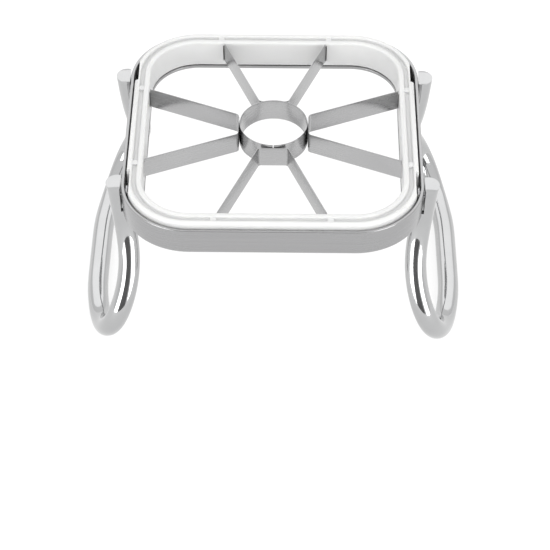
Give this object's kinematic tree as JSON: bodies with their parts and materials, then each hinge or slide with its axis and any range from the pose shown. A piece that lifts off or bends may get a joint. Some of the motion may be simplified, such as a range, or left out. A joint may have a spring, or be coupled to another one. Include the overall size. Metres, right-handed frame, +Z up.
{
  "type": "vegetable dicer",
  "caption": "Square steel band on two looped rod handles, holding a lift-out white insert with radial wedge blades around a steel core ring",
  "frame": {"origin": "on the ground midway between the two handle loops that the dicer stands on, below the middle of the square", "axes": "+X from the left handle to the right handle, +Y to the back, +Z up from the loops to the open top of the square"},
  "size_m": [0.1456, 0.11, 0.0745],
  "materials": {
    "band_steel": "satin polished stainless strip",
    "rod_steel": "mirror polished stainless rod",
    "screw_steel": "plain stainless",
    "white_plastic": "semi-matt moulded white plastic",
    "blade_steel": "bright rolled stainless strip"
  },
  "bodies": {
    "frame": {"band": "band_steel", "handle_left": "rod_steel", "handle_right": "rod_steel", "screw_left_front": "screw_steel", "screw_left_back": "screw_steel", "screw_right_front": "screw_steel", "screw_right_back": "screw_steel"},
    "insert": {"insert_frame": "white_plastic", "core_ring": "blade_steel", "blade_front": "blade_steel", "blade_back": "blade_steel", "blade_left": "blade_steel", "blade_right": "blade_steel"}
  },
  "joints": [
    {"name": "insert_lift", "type": "slide", "parent": "frame", "child": "insert", "axis": [0, 0, 1], "range_m": [0, 0.03]}
  ]
}
